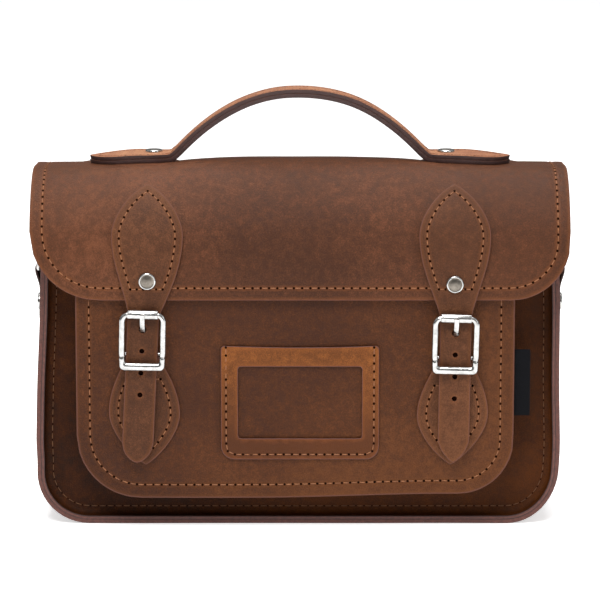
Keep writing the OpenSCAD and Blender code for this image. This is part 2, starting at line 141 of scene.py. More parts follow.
class Shader:
    """A small helper that adds nodes to a material and joins them."""

    def __init__(self, name):
        self.material = bpy.data.materials.new(name)
        self.material.use_nodes = True
        self.tree = self.material.node_tree
        self.bsdf = self.tree.nodes["Principled BSDF"]

    def node(self, kind, inputs=None, **settings):
        made = self.tree.nodes.new(kind)
        for key, value in settings.items():
            setattr(made, key, value)
        for key, value in (inputs or {}).items():
            self.join(value, made.inputs[key])
        return made

    def join(self, value, socket):
        if isinstance(value, bpy.types.NodeSocket):
            self.tree.links.new(value, socket)
        else:
            socket.default_value = value

    def surface(self, **values):
        for key, value in values.items():
            self.join(value, self.bsdf.inputs[key.replace("_", " ")])

    def place(self):
        return self.node("ShaderNodeTexCoord").outputs["Object"]

    def noise(self, scale, detail=4.0, roughness=0.55):
        inputs = {"Vector": self.place(), "Scale": scale, "Detail": detail, "Roughness": roughness}
        return self.node("ShaderNodeTexNoise", inputs).outputs["Fac"]

    def ramp(self, value, stops):
        made = self.node("ShaderNodeValToRGB", {"Fac": value})
        elements = made.color_ramp.elements
        while len(elements) < len(stops):
            elements.new(0.5)
        for element, (at, colour) in zip(elements, stops):
            element.position = at
            element.color = colour
        return made.outputs["Color"]

    def two_tone(self, value, dark, light):
        return self.ramp(value, [(0.3, srgb(dark)), (0.7, srgb(light))])

    def span(self, value, low, high, to_low=0.0, to_high=1.0):
        """value's range from low to high, mapped to another range and held at its ends."""
        inputs = {"Value": value, "From Min": low, "From Max": high, "To Min": to_low, "To Max": to_high}
        return self.node("ShaderNodeMapRange", inputs, clamp=True).outputs["Result"]

    def math(self, operation, a, b):
        return self.node("ShaderNodeMath", {0: a, 1: b}, operation=operation).outputs["Value"]

    def mix(self, share, a, b):
        """Colour a, with a share of colour b."""
        return self.node("ShaderNodeMix", {"Factor": share, 6: a, 7: b}, data_type="RGBA").outputs[2]

    def bump(self, height, distance, strength=1.0, normal=None):
        inputs = {"Height": height, "Distance": distance, "Strength": strength}
        if normal is not None:
            inputs["Normal"] = normal
        return self.node("ShaderNodeBump", inputs).outputs["Normal"]


# the colour of raw edges, and the heights in metres between which the card frame darkens towards its foot, a
# painted shade
RAW_TONE = "#5c3b33"
CARD_SHADE_HEIGHTS = (0.056, 0.108)


def leather(name, dark, middle, light, rub, border=0.6, rub_share=0.4, roughness=0.52, shine=0.165,
            warmth=0.12, low=None):
    """Oiled pull-up leather: faint clouds, fibrous mottling and fine grain. It is rubbed lighter along its
    edges and seams, and shows its raw edge as a thin border. warmth is the share of rubbed colour in large
    clouds, and low is a second, darker tone, a painted shade, that takes over towards the floor."""
    s = Shader(name)
    clouds = s.noise(8.0, 3.0, 0.5)
    fibres = s.noise(210.0, 7.0, 0.7)
    grain = s.noise(1300.0, 4.0, 0.65)
    tone = s.math("ADD", s.math("MULTIPLY", clouds, 0.34), s.math("MULTIPLY", fibres, 0.33))
    tone = s.math("ADD", tone, s.math("MULTIPLY", grain, 0.33))
    colour = s.ramp(tone, [(0.41, srgb(dark)), (0.5, srgb(middle)), (0.59, srgb(light))])
    # painted shade: the low tone darkens the piece towards the floor
    if low is not None:
        height = s.node("ShaderNodeSeparateXYZ", {"Vector": s.place()}).outputs["Z"]
        colour = s.mix(s.span(height, *CARD_SHADE_HEIGHTS, 0.95, 0.0), colour, srgb(low))
    warm = s.span(s.noise(6.0, 3.0, 0.55), 0.42, 0.64, 0.0, warmth)
    colour = s.mix(warm, colour, srgb(rub))
    edge = s.node("ShaderNodeAttribute", attribute_name="edge").outputs["Fac"]
    seam = s.node("ShaderNodeAttribute", attribute_name="seam").outputs["Fac"]
    ragged = s.span(fibres, 0.35, 0.65, -0.9, 0.9)
    at_edge = s.span(s.math("ADD", edge, ragged), 0.0, 2.4, rub_share, 0.0)
    at_seam = s.span(s.math("ADD", seam, ragged), 0.0, 2.0, rub_share, 0.0)
    colour = s.mix(s.math("MAXIMUM", at_edge, at_seam), colour, srgb(rub))
    colour = s.mix(s.span(edge, border * 0.7, border * 1.3, 0.6, 0.0), colour, srgb(RAW_TONE))
    cells = s.node("ShaderNodeTexVoronoi", {"Vector": s.place(), "Scale": 620.0}, feature="DISTANCE_TO_EDGE")
    coarse = s.bump(s.noise(110.0, 7.0, 0.75), 0.0008, 0.35)
    pores = s.bump(s.span(cells.outputs["Distance"], 0.0, 0.12), 0.00014, 0.5, coarse)
    s.surface(
        Base_Color=colour,
        Roughness=s.span(fibres, 0.3, 0.7, roughness - 0.07, roughness + 0.1),
        Normal=s.bump(grain, 0.00028, 0.8, pores),
        Specular_IOR_Level=shine,
    )
    return s.material


def fibrous(name, dark, light, scale, detail, roughness, rough_span, relief):
    """A plain material with a fine grain: the cut edge of leather, or waxed thread."""
    s = Shader(name)
    fibres = s.noise(scale, detail, roughness)
    s.surface(
        Base_Color=s.two_tone(fibres, dark, light),
        Roughness=s.span(fibres, *rough_span),
        Normal=s.bump(fibres, 0.0003, relief),
    )
    return s.material


def suede(name, dark, light):
    """The flesh side of the leather."""
    s = Shader(name)
    nap = s.noise(700.0, 8.0, 0.75)
    clouds = s.two_tone(s.noise(70.0, 6.0, 0.7), dark, light)
    s.surface(Base_Color=clouds, Roughness=0.9, Normal=s.bump(nap, 0.0004, 0.7))
    return s.material


def painted_hole_shade(name):
    """Painted shade: the dark disc that stands for the shaded inside of a needle hole."""
    s = Shader(name)
    tone = s.two_tone(s.noise(600.0), "#120804", "#25120a")
    s.surface(Base_Color=tone, Roughness=0.9, Specular_IOR_Level=0.0)
    return s.material


def plated(name, dark, light, roughness):
    """Bright nickel plate with faint handling marks."""
    s = Shader(name)
    marks = s.noise(300.0, 5.0, 0.6)
    s.surface(
        Base_Color=s.two_tone(marks, dark, light),
        Roughness=s.span(marks, 0.3, 0.7, roughness - 0.04, roughness + 0.06),
        Metallic=1.0,
        Normal=s.bump(s.noise(160.0, 3.0), 0.0001, 0.3),
    )
    return s.material


def woven(name, dark, light):
    """Ribbon woven from fine yarn."""
    s = Shader(name)
    place = s.place()
    warp = s.node("ShaderNodeTexWave", {"Vector": place, "Scale": 550.0, "Distortion": 0.4},
                  bands_direction="X").outputs["Fac"]
    weft = s.node("ShaderNodeTexWave", {"Vector": place, "Scale": 420.0, "Distortion": 0.4},
                  bands_direction="Z").outputs["Fac"]
    weave = s.math("MULTIPLY", warp, weft)
    s.surface(
        Base_Color=s.ramp(weave, [(0.0, srgb(dark)), (1.0, srgb(light))]),
        Roughness=0.8,
        Normal=s.bump(weave, 0.0003, 0.8),
        Specular_IOR_Level=0.12,
    )
    return s.material


def studio_floor(name):
    """A white sweep that glows a little, so that it stays white far behind the bag."""
    s = Shader(name)
    white = s.two_tone(s.noise(3.0), "#f7f7f7", "#fafafa")
    s.surface(Base_Color=white, Roughness=0.8, Emission_Color=white, Emission_Strength=0.62)
    return s.material


FLAP_LEATHER = leather("flap_leather", "#3b1f0f", "#4d2b17", "#673d26", "#7f4822", 0.45, warmth=0.08)
SHELL_LEATHER = leather("shell_leather", "#210d02", "#331603", "#482307", "#532b09", 0.3, 0.1, 0.6, 0.12, 0.3)
POCKET_LEATHER = leather("pocket_leather", "#361a0a", "#45230c", "#593216", "#6e3f1a", 0.8, 0.3)
STRAP_LEATHER = leather("strap_leather", "#3c2010", "#4b2b17", "#623c24", "#784521", 0.55, 0.35)
# the card frame's low tone is painted shade towards its foot
CARD_LEATHER = leather("card_leather", "#58300f", "#74421a", "#915626", "#8a4c22", 0.4, 0.3, low="#43220d")
# the handle's cover leather is lighter than the rest: a painted highlight for the light on the handle's top
HANDLE_PAINTED_HIGHLIGHT_LEATHER = leather("handle_painted_highlight_leather", "#714731", "#94634a", "#b07f5c", "#9a5c36", 0.3, 0.3)
CUT = (420.0, 6.0, 0.7, (0.2, 0.8, 0.5, 0.75), 0.6)
EDGE = fibrous("raw_edge", "#43231b", "#673d34", *CUT)
DARK_EDGE = fibrous("dark_edge", "#28130f", "#432925", *CUT)
SUEDE = suede("flesh_side", "#6b4934", "#8f6a4f")
TWIST = (900.0, 4.0, 0.5, (0.3, 0.7, 0.5, 0.7), 0.8)
THREAD = fibrous("waxed_thread", "#704326", "#986239", *TWIST)
SHELL_THREAD = fibrous("shell_thread", "#4a2c12", "#6b431f", *TWIST)
NEEDLE_HOLE_SHADE = painted_hole_shade("needle_hole_shade")
NICKEL = plated("nickel", "#a3a2a0", "#cfcecb", 0.17)
# a darker nickel for the middle of each rivet cap: a painted dark reflection of the room in front of it
NICKEL_PAINTED_DARK_REFLECTION = plated("nickel_painted_dark_reflection", "#57524c", "#8d857b", 0.34)
RIBBON = woven("woven_ribbon", "#050507", "#14141a")

# a leather piece's materials: its grain, its cut edge and its flesh side, and where it differs, its bevel
SHELL_LAYERS = [SHELL_LEATHER, EDGE, SUEDE, DARK_EDGE]
STRAP_LAYERS = [STRAP_LEATHER, EDGE, SUEDE]


# ---- mesh helpers, in millimetres
def soft_sides(p):
    """The body is not quite square: its sides are soft below SOFT_TOP, its lower right corner most of all."""
    x, y, z = p
    if y < FRONT_Y - 0.5 or z > SOFT_TOP:
        return p
    share = smoothstep((SOFT_TOP - z) / 60.0) * (abs(x) / BASE_HALF) ** 2
    if x < 0:
        return (x - LEFT_BULGE * share * smoothstep((z - 35.0) / 20.0), y, z)
    return (x - share * (RIGHT_SINK + CORNER_SINK * smoothstep((55.0 - z) / 50.0)), y, z)


def make_object(name, points, faces, materials, face_materials=None, edge=None, seam=None, smooth_angle=40):
    """Adds a mesh. edge and seam are each point's distance from the piece's edge and from its stitching."""
    mesh = bpy.data.meshes.new(name)
    mesh.from_pydata([tuple(c * MM for c in soft_sides(p)) for p in points], [], faces)
    for m in materials:
        mesh.materials.append(m)
    if face_materials is not None:
        mesh.polygons.foreach_set("material_index", face_materials)
    for key, values in (("edge", edge), ("seam", seam)):
        far = np.full(len(points), NO_SEAM, np.float32) if values is None else np.asarray(values, np.float32)
        mesh.attributes.new(key, "FLOAT", "POINT").data.foreach_set("value", far)
    obj = bpy.data.objects.new(name, mesh)
    bpy.context.scene.collection.objects.link(obj)
    smooth(obj, smooth_angle)
    return obj


def grid_faces(rows, columns, closed=False):
    """Faces over rows of columns points each. Closed rows join their last point to their first."""
    faces = []
    for low in range(0, (rows - 1) * columns, columns):
        for j in range(columns if closed else columns - 1):
            k = (j + 1) % columns
            faces.append((low + j, low + k, low + columns + k, low + columns + j))
    return faces


def smooth(obj, angle=40):
    obj.data.polygons.foreach_set("use_smooth", [True] * len(obj.data.polygons))
    obj.data.set_sharp_from_angle(angle=math.radians(angle))


def apply_modifiers(obj, angle=40):
    made = bpy.data.meshes.new_from_object(obj.evaluated_get(bpy.context.evaluated_depsgraph_get()))
    obj.modifiers.clear()
    obj.data = made
    smooth(obj, angle)
    return obj


def round_edges(obj, width, segments, angle):
    """Adds a bevel to the edges sharper than angle, and returns it."""
    bevel = obj.modifiers.new("edges", "BEVEL")
    bevel.width = width * MM
    bevel.segments = segments
    bevel.limit_method = "ANGLE"
    bevel.angle_limit = math.radians(angle)
    return bevel


def thicken(obj, thickness, bevel=0.5):
    """Gives a sheet its thickness and rounded edges. Its materials are in the order of SHELL_LAYERS."""
    solid = obj.modifiers.new("thickness", "SOLIDIFY")
    solid.thickness = thickness * MM
    solid.offset = -1.0
    solid.use_even_offset = True
    solid.material_offset = 2
    solid.material_offset_rim = 1
    round_edges(obj, bevel, 2, 60).material = 1 if len(obj.data.materials) == 3 else 3
    return obj


def cut(obj, *cutters):
    """Takes the cutters' volume out of obj."""
    for cutter in cutters:
        m = obj.modifiers.new("cut", "BOOLEAN")
        m.object = cutter
        m.solver = "EXACT"
    apply_modifiers(obj)
    for cutter in cutters:
        bpy.data.objects.remove(cutter)
    return obj


def arc_lengths(line):
    """How far along a line each of its points lies."""
    return np.concatenate([[0.0], np.cumsum(np.linalg.norm(np.diff(line, axis=0), axis=1))])


def distance_to_lines(points, lines):
    """For each point, the distance to the nearest segment of any of the lines."""
    p = np.asarray(points, float)
    best = np.full(len(p), NO_SEAM)
    for line in lines:
        for start, end in zip(np.asarray(line[:-1], float), np.asarray(line[1:], float)):
            d = end - start
            t = np.clip(((p - start) @ d) / max(d @ d, 1e-12), 0, 1)
            best = np.minimum(best, np.linalg.norm(p - start - t[:, None] * d, axis=1))
    return best


class Profile:
    """A line swept straight across. A point on it is s along the line and t across, both in mm."""

    def __init__(self, line, across, shape=None):
        self.line = np.array(line, float)
        self.across = np.array(across, float)
        self.s = arc_lengths(self.line)
        tangents = np.gradient(self.line, self.s, axis=0)
        normals = np.cross(self.across, tangents)
        self.normals = normals / np.linalg.norm(normals, axis=1)[:, None]
        self.shape = shape
        self.length = self.s[-1]

    def normal(self, s):
        n = np.array([np.interp(s, self.s, self.normals[:, k]) for k in range(3)])
        return n / np.linalg.norm(n)

    def at(self, s, t, out=0.0):
        p = np.array([np.interp(s, self.s, self.line[:, k]) for k in range(3)])
        n = self.normal(s)
        point = p + self.across * t
        if self.shape is not None:
            out = out + self.shape(point, n)
        return point + n * out


def spread(low, high, step, fine=(0.0, 1.0, 3.0, 5.0, 6.5, 7.5, 8.5, 10.0, 13.0)):
    """Positions from low to high, close together near both ends so that edges and seams can be shaped."""
    span = high - low
    scale = min(1.0, span / (2.2 * fine[-1]))
    ends = [f * scale for f in fine]
    middle = max(2, round((span - 2 * ends[-1]) / step))
    inner = [low + ends[-1] + (span - 2 * ends[-1]) * i / middle for i in range(1, middle)]
    return [low + e for e in ends] + inner + [high - e for e in reversed(ends)]


def seam_shape(edge, seam):
    """How far leather sinks at its rounded edge and along a seam."""
    return -0.35 * np.exp(-(seam**2) / 2.4) - 0.25 * np.exp(-edge / 0.9)


def sheet(name, profile, rows, spans, step, materials, thickness, seams=(), bevel=0.5):
    """A leather piece on a profile. rows are positions along it, spans(s) its two sides there, and seams its
    stitch lines as (s, t) points."""
    lows_highs = [spans(s) for s in rows]
    widest = max(lows_highs, key=lambda lh: lh[1] - lh[0])
    shares = [(c - widest[0]) / (widest[1] - widest[0]) for c in spread(*widest, step)]
    flat = [(s, lo + (hi - lo) * u) for s, (lo, hi) in zip(rows, lows_highs) for u in shares]
    count = len(shares)
    outline = (
        [flat[i * count] for i in range(len(rows))]
        + flat[(len(rows) - 1) * count :]
        + [flat[i * count + count - 1] for i in reversed(range(len(rows)))]
        + flat[:count][::-1]
    )
    edge = distance_to_lines(flat, [outline + outline[:1]])
    seam = distance_to_lines(flat, seams)
    sink = seam_shape(edge, seam)
    points = [profile.at(s, t, d) for (s, t), d in zip(flat, sink)]
    faces = grid_faces(len(rows), count)
    obj = make_object(name, points, faces, materials, edge=edge, seam=seam)
    first = obj.data.polygons[len(faces) // 2]
    s, t = flat[first.vertices[0]]
    if first.normal.dot(Vector(profile.normal(s))) < 0:
        obj.data.flip_normals()
    thicken(obj, thickness, bevel)
    return apply_modifiers(obj)


def resample(line, pitch=None, count=None):
    """Points in equal steps along a line: count steps, or as many as come close to pitch."""
    line = np.array(line, float)
    s = arc_lengths(line)
    at = np.linspace(0, s[-1], (count or max(1, round(s[-1] / pitch))) + 1)
    return np.stack([np.interp(at, s, line[:, k]) for k in range(line.shape[1])], axis=1)


def stitch_mesh(name, runs, thread=THREAD, radius=STITCH_R, hole_r=HOLE_R):
    """Sewing thread. Each run is a list of (point, normal) pairs a stitch apart; every stitch rises from one
    needle hole and sinks into the next. Each hole is a dark disc of painted shade. A run of one pair is only
    a hole."""
    points, faces, kinds = [], [], []
    rings, sides, hole_sides = 6, 6, 8
    for run in runs:
        for (a, na), (b, nb) in zip(run[:-1], run[1:]):
            a, b = np.array(a), np.array(b)
            along = (b - a) / max(np.linalg.norm(b - a), 1e-9)
            normal = np.array(na) + np.array(nb)
            normal = normal / np.linalg.norm(normal)
            side = np.cross(along, normal)
            first = len(points)
            for k in range(rings):
                u = k / (rings - 1)
                rise = radius * (1.5 * math.sin(math.pi * u) ** 0.6 - 0.9)
                centre = a + (b - a) * (0.12 + 0.76 * u) + normal * rise
                thick = radius * (0.7 + 0.3 * math.sin(math.pi * u))
                for q in range(sides):
                    angle = 2 * math.pi * q / sides
                    points.append(centre + thick * (math.cos(angle) * side * 1.15 + math.sin(angle) * normal))
            tube = [tuple(first + c for c in face) for face in grid_faces(rings, sides, True)]
            faces += tube
            kinds += [0] * len(tube)
        # a dark disc of painted shade over each needle hole
        for a, na in run:
            a, normal = np.array(a), np.array(na)
            along = np.cross(normal, [0.3, 0.5, 0.8])
            along = along / np.linalg.norm(along)
            side = np.cross(normal, along)
            first = len(points)
            for q in range(hole_sides):
                angle = 2 * math.pi * q / hole_sides
                points.append(a + normal * 0.12 + hole_r * (math.cos(angle) * side + math.sin(angle) * along))
            faces.append(tuple(range(first, first + hole_sides)))
            kinds.append(1)
    return make_object(name, points, faces, [thread, NEEDLE_HOLE_SHADE], kinds, smooth_angle=60)


def sew(name, runs, body, *style):
    """Stitching that is fixed to one body."""
    return finish_piece(stitch_mesh(name, runs, *style), body, "thread")


def run_on(profile, line, pitch=STITCH_PITCH):
    """A stitch run along a line of (s, t) on a profile, a little below its face."""
    return [(profile.at(s, t, -0.3), profile.normal(s)) for s, t in resample(line, pitch)]


def flat_run(line, y):
    """A stitch run along a line of (x, z) on an upright face at y."""
    return [((x, y, z), OUTWARD) for x, z in resample(line, STITCH_PITCH)]


def lathe(name, outline, origin, axis, material, steps=40, top=None):
    """A turned part: outline is (radius, height) pairs along axis from origin. top is (radius, material) for
    the middle of its far end."""
    z = Vector(axis).normalized()
    turn = z.to_track_quat("Z", "Y").to_matrix()
    points = []
    for r, h in outline:
        for k in range(steps):
            a = 2 * math.pi * k / steps
            points.append(Vector(origin) + turn @ Vector((r * math.cos(a), r * math.sin(a), h)))
    faces = grid_faces(len(outline), steps, True)
    faces.append(tuple(reversed(range(steps))))
    faces.append(tuple((len(outline) - 1) * steps + k for k in range(steps)))
    if top is None:
        return make_object(name, points, faces, [material], smooth_angle=50)
    middle = [int(r <= top[0]) for r, _ in outline[:-1] for _ in range(steps)]
    return make_object(name, points, faces, [material, top[1]], middle + [0, 1], smooth_angle=50)


def smoothstep(x):
    x = min(1.0, max(0.0, x))
    return x * x * (3 - 2 * x)


def wave(point, size, height):
    """Gentle unevenness of hand-cut leather."""
    return height * noise.noise(Vector(point) / size)


def finish_piece(obj, body, slot, *replaced):
    """Fixes a piece to its body and hides the CAD parts that it replaces. slot is not used."""
    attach(obj, body)
    if replaced:
        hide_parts(*replaced)
    return obj


# ---- outlines
def body_outline(inset, top, step=5.0):
    """The body seen from the front, from the top left down round the base to the top right."""
    centre_x, r = BASE_HALF - CORNER, CORNER - inset
    side_top = centre_x - math.tan(SIDE_LEAN) * (top - CORNER) + r / math.cos(SIDE_LEAN)
    side_low = centre_x + r * math.cos(SIDE_LEAN)
    z_low = CORNER + r * math.sin(SIDE_LEAN)
    count = max(2, round((top - z_low) / step))
    right = [(side_top + (side_low - side_top) * i / count, top + (z_low - top) * i / count)
             for i in range(count)]
    for i in range(ARC_STEPS + 1):
        a = SIDE_LEAN + (-math.pi / 2 - SIDE_LEAN) * i / ARC_STEPS
        right.append((centre_x + r * math.cos(a), CORNER + r * math.sin(a)))
    flat = [(-centre_x + 2 * centre_x * i / BASE_STEPS, inset) for i in range(1, BASE_STEPS)]
    left = [(-x, z) for x, z in right]
    return left + flat + list(reversed(right))


def u_half_width(half, low, radius, z):
    """Half width at height z of a panel with rounded bottom corners."""
    if z >= low + radius:
        return half
    return half - radius + math.sqrt(max(0.0, radius**2 - (low + radius - z) ** 2))


def u_line(half, low, radius, top, inset):
    """A seam line inside such a panel, from the top left round to the top right, as (x, z)."""
    r = radius - inset
    left = [(-half + inset, top)]
    for i in range(ARC_STEPS + 1):
        a = math.pi + math.pi / 2 * i / ARC_STEPS
        left.append((-half + radius + r * math.cos(a), low + radius + r * math.sin(a)))
    return left + [(-x, z) for x, z in reversed(left)]


def corner_rows(low, radius, top, step):
    """Heights from low to top, close together near the low edge and round the corners."""
    near = [0.0, 0.5, 1.2, 2.2, 3.5, 5.0, 6.5, 7.5, 8.5, 10.0, 13.0, 17.0, 22.0, 28.0]
    rows = [low + n for n in near if n < radius] + [low + radius]
    count = max(1, round((top - low - radius) / step))
    return rows + [low + radius + (top - low - radius) * i / count for i in range(1, count + 1)]


# ---- flap and back
def flap_line(out):
    """(y, z) points from the flap's lower edge over the crest to the base of the back, out from its face."""
    front = [(FLAP_Y - out, z) for z in np.linspace(FLAP_LOW, SHOULDER_Z, 12)[:-1]]
    dome = [
        (
            -CREST_HALF + (FLAP_Y + CREST_HALF - out) * math.cos(a),
            SHOULDER_Z + (CREST_Z - SHOULDER_Z + out) * math.sin(a),
        )
        for a in np.linspace(0, math.pi / 2, 26)
    ]
    crest = [(y, CREST_Z + out) for y in np.linspace(-CREST_HALF, CREST_HALF, 8)[1:-1]]
    rear = [
        (
            CREST_HALF + (BACK_FACE_Y - CREST_HALF + out) * math.sin(a),
            FOLD_Z + (CREST_Z - FOLD_Z + out) * math.cos(a),
        )
        for a in np.linspace(0, math.pi / 2, 14)
    ]
    back = [(BACK_FACE_Y + out, z) for z in np.linspace(FOLD_Z, 8.0, 40)[1:]]
    return front + dome + crest + rear + back


def end_droop(x):
    """How far the crest, and the ends of the handle on it, droop towards the bag's sides."""
    return HANDLE_DROOP * smoothstep((abs(x) - DROOP_X) / DROOP_LENGTH)


def crest_shape(point, normal):
    """The crest swells between the two ends of the handle, and sinks towards the back away from them."""
    x, y, _ = point
    swell = CREST_BULGE * max(0.0, 1 - (abs(x) / BULGE_HALF) ** 4)
    away = smoothstep((abs(abs(x) - HANDLE_END_X) - HANDLE_END_HALF) / 9.0)
    droop = end_droop(x)
    sag = droop + (CREST_DROP - droop) * away * smoothstep((y + CREST_HALF) / (2 * CREST_HALF))
    up = max(0.0, normal[2])
    return swell * up**3 - sag * up + wave(point, 45.0, 0.45)


FLAP = Profile([(0.0, y, z) for y, z in flap_line(0.0)], ACROSS, crest_shape)
FOLD_S = next(s for s, p in zip(FLAP.s, FLAP.line) if p[1] > BACK_FACE_Y - 0.01)


def flap_span(s):
    """Both sides of the flap and back leather: wide over the flap, between the gusset's walls just below the
    fold, and inside the back rim below that."""
    if s <= FOLD_S - 14:
        left, right = (u_half_width(FLAP_HALF, 0.0, FLAP_R[side], s) for side in (-1, 1))
        return -left, right
    z = FOLD_Z - (s - FOLD_S)
    above_rim = smoothstep((z - BACK_RIM_TOP) / 6.0)
    inside = side_half(min(z, GUSSET_TOP)) - BACK_INSET + (BACK_INSET - BACK_INSET_TOP) * above_rim
    if z < CORNER:
        inside = BASE_HALF - CORNER + math.sqrt(max(0.0, (CORNER - BACK_INSET) ** 2 - (CORNER - z) ** 2))
    half = FLAP_HALF + (inside - FLAP_HALF) * smoothstep((s - FOLD_S + 14) / 16)
    return -half, half


def side_half(z):
    """Half width of the body at height z, above the corners."""
    return BASE_HALF - CORNER - math.tan(SIDE_LEAN) * (z - CORNER) + CORNER / math.cos(SIDE_LEAN)


def blend_fold(obj):
    """Bakes the piece's transform into its mesh; the leather's bend just above the back is in its own shape."""
    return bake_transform(obj)


def make_flap():
    """The flap and the back panel: one length of thick leather."""
    crest_end, seam_inset = FOLD_S - 6, 7.5
    left, right = (u_line(FLAP_HALF, 0.0, FLAP_R[side], crest_end, seam_inset) for side in (-1, 1))
    flap_seam = [(s, x) for x, s in left[: len(left) // 2] + right[len(right) // 2 :]]
    back_seam = [(FOLD_S + FOLD_Z - z, x) for x, z in body_outline(BACK_SEAM_INSET, BACK_RIM_TOP, 2.0)]
    total = FLAP.length
    rows = corner_rows(0.0, FLAP_R[-1], total - 14, 5.0) + [total - 9, total - 5, total - 2, total]
    obj = sheet("flap_and_back", FLAP, rows, flap_span, 5.0, [FLAP_LEATHER, EDGE, SUEDE], FLAP_T,
                [flap_seam, back_seam], bevel=0.7)
    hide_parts("flap", "back_panel")
    blend_fold(obj)
    thread = stitch_mesh("flap_stitching", [run_on(FLAP, flap_seam)])
    blend_fold(thread)
    sew("back_stitching", [run_on(FLAP, back_seam)], "bag")


# ---- body shell
def fill_panel(points, edge, first, count):
    """Closes a panel inside the ring of count points that starts at first, with rows from side to side down
    to the corners, and then the base. Adds to points and edge, and returns the faces."""
    corner = (count - BASE_STEPS + 1) // 2 - 1
    rows = []
    for j in range(corner):
        a, b = points[first + j], points[first + count - 1 - j]
        inner = range(len(points), len(points) + BASE_STEPS - 1)
        for c in range(1, BASE_STEPS):
            points.append(tuple(a[k] + (b[k] - a[k]) * c / BASE_STEPS for k in range(3)))
            edge.append(20.0)
        rows.append([first + j, *inner, first + count - 1 - j])
    rows.append([first + corner + c for c in range(BASE_STEPS + 1)])
    faces = []
    for above, row in zip(rows, rows[1:]):
        faces += [(row[c], row[c + 1], above[c + 1], above[c]) for c in range(BASE_STEPS)]
    return faces


def ring_panel(name, sections, top, materials, thickness, fill=True, outline=body_outline):
    """A panel with a shaped border. sections are (inset, y) from its edge inwards; with fill, the last one is
    closed by rows from side to side."""
    rings = [[(x, y, z) for x, z in outline(inset, top)] for inset, y in sections]
    count = len(rings[0])
    points = [p for ring in rings for p in ring]
    edge = [3.0 * k for k, ring in enumerate(rings) for _ in ring]
    faces = grid_faces(len(rings), count)
    if fill:
        faces += fill_panel(points, edge, (len(rings) - 1) * count, count)
    obj = make_object(name, points, faces, materials, edge=edge)
    if sections[0][1] > 0:
        obj.data.flip_normals()
    thicken(obj, thickness, 0.6)
    return apply_modifiers(obj)


def dish_sections(rim_y, face_y):
    """The border of a dished panel: a flat rim edge, a straight wall and a rounded foot."""
    wall = ((4.95, 0.0), (4.95, 0.25), (5.0, 0.5), (5.6, 0.75), (7.0, 0.92), (9.5, 1.0), (14.0, 1.0))
    return [(inset, rim_y + (face_y - rim_y) * share) for inset, share in wall]


def make_body():
    """The dished front panel, the rim round the back and the gusset between them."""
    front_rim, back_rim = dish_sections(FRONT_Y, PANEL_Y), dish_sections(BACK_Y, BACK_FACE_Y - 0.4)
    front = ring_panel("front_panel_leather", front_rim, PANEL_TOP, SHELL_LAYERS, BODY_T)
    finish_piece(front, "bag", "leather_shell", "front_panel")
    back = ring_panel("back_rim_leather", back_rim, BACK_RIM_TOP, SHELL_LAYERS, BODY_T, False)
    finish_piece(back, "bag", "leather_shell")
    foot = body_outline(RIM_SEAM_INSET, PANEL_TOP - 2.0, 2.0)
    sew("rim_stitching", [flat_run(foot, PANEL_Y - 0.05)], "bag", SHELL_THREAD, 0.22, 0.5)
    make_gusset()


def gusset_span(z):
    """How far the gusset reaches forward and back at height z."""
    front = FRONT_Y + max(0.0, z - FRONT_SLOPE_Z) * 9 / 7
    if z <= BACK_RIM_TOP:
        return front, BACK_Y
    return front, float(np.interp(z, REAR_STEP_Z, REAR_STEP_Y))


def make_gusset():
    """The strip round the sides and base, with a row of points at each height where its shape turns."""
    outline = body_outline(0.0, GUSSET_TOP, 4.0)
    line = outline_with_heights(outline, (BACK_RIM_TOP, BACK_RIM_TOP + 0.02, *REAR_STEP_Z[:2], FRONT_SLOPE_Z))
    heights = [z for _, z in line]
    profile = Profile([(x, 0.0, z) for x, z in line], (0.0, 1.0, 0.0), lambda p, n: wave(p, 60.0, 0.3))
    spans = {round(float(s), 4): gusset_span(z) for s, z in zip(profile.s, heights)}
    obj = sheet("gusset_leather", profile, list(profile.s), lambda s: spans[round(float(s), 4)], 6.0,
                SHELL_LAYERS, BODY_T, bevel=0.6)
    finish_piece(obj, "bag", "leather_shell", "main_gusset")


def outline_with_heights(outline, extra):
    """The outline with points added on both sides at the extra heights."""
    sides = [p for p in outline if p[1] > CORNER + 2]
    sides += [(sign * side_half(z), z) for z in extra for sign in (-1, 1)]
    left = sorted([p for p in sides if p[0] < 0], key=lambda p: -p[1])
    right = sorted([p for p in sides if p[0] > 0], key=lambda p: p[1])
    return left + [p for p in outline if p[1] <= CORNER + 2] + right


# ---- pocket
def pocket_corner(side, inset):
    """The left or right lower corner of the pocket, from its side to its base, as (x, z) from its middle."""
    big = POCKET_R[side]
    r = big - inset
    return [
        (side * (POCKET_HALF - big + r * math.cos(a)), big - r * math.sin(a))
        for a in np.linspace(0, math.pi / 2, 13)
    ]


def pocket_outline(inset, top, step=5.0):
    """The pocket seen from the front, from the top left down round the base to the top right."""
    halves = []
    for side in (-1, 1):
        start = top - POCKET_LOW
        count = max(2, round((start - POCKET_R[-1]) / step))
        drop = (start - POCKET_R[side]) / count
        edge = [(side * (POCKET_HALF - inset), start - drop * i) for i in range(count)]
        halves.append(edge + pocket_corner(side, inset))
    low, high = halves[0][-1][0], halves[1][-1][0]
    flat = [(low + (high - low) * i / POCKET_BASE_STEPS, inset) for i in range(1, POCKET_BASE_STEPS)]
    line = halves[0] + flat + halves[1][::-1]
    return [(x + POCKET_X, z + POCKET_LOW + pocket_rise(x, z)) for x, z in line]


def pocket_rise(x, z):
    """The pocket's lower right corner sits a little higher than the left one."""
    return POCKET_LIFT * smoothstep((x + 20.0) / 110.0) * smoothstep((75.0 - z) / 60.0)


def lift_pocket(obj):
    """Gives a piece made on the pocket's plain outline the pocket's uneven base."""
    for v in obj.data.vertices:
        v.co.z += pocket_rise(v.co.x / MM - POCKET_X, v.co.z / MM - POCKET_LOW) * MM
    return obj


